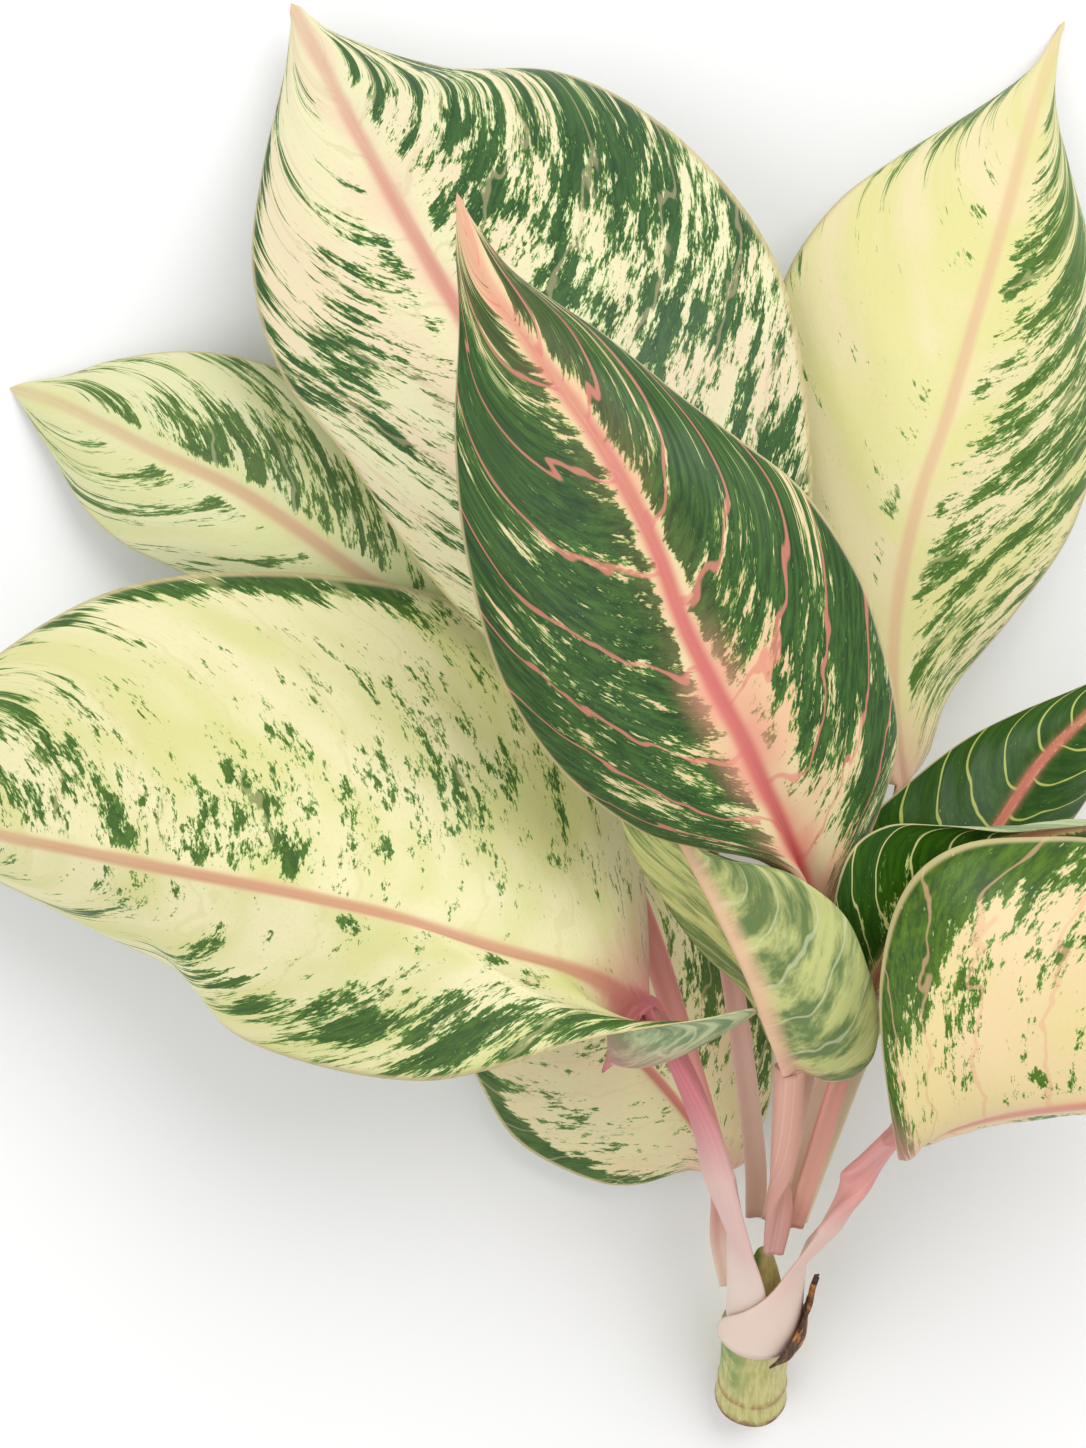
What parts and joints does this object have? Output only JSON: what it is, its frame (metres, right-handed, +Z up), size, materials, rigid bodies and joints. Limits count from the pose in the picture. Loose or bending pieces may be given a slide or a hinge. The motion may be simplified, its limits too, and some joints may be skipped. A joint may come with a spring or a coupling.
{
  "type": "chinese evergreen cutting",
  "caption": "Cut leafy shoot of a variegated chinese evergreen, lying on a surface on its cane's cut end and its hind leaves.",
  "frame": {"origin": "centre of the shoot's bounding box, on the surface that it rests on", "axes": "+Z up, the short way through the shoot; +Y from the cut end towards the leaf tips, the long way"},
  "size_m": [0.359, 0.3608, 0.1348],
  "materials": {
    "cane": "green-beige bark, brown ring scars and cut rim",
    "pale_blade": "cream and pale green with dark green flecks",
    "patterned_blade": "dark green with pink midrib and cream flecks",
    "dry_scale": "dry brown, papery"
  },
  "bodies": {
    "root": {"cane": "cane", "dry_scale": "dry_scale", "leaf_back": "patterned_blade", "leaf_front": "patterned_blade", "leaf_left_back": "pale_blade", "leaf_left_front": "pale_blade", "leaf_low_left": "pale_blade", "leaf_right_back": "pale_blade", "leaf_right_front": "pale_blade", "leaf_right_mid": "patterned_blade", "leaf_right_small": "patterned_blade", "leaf_young": "patterned_blade"}
  },
  "joints": []
}
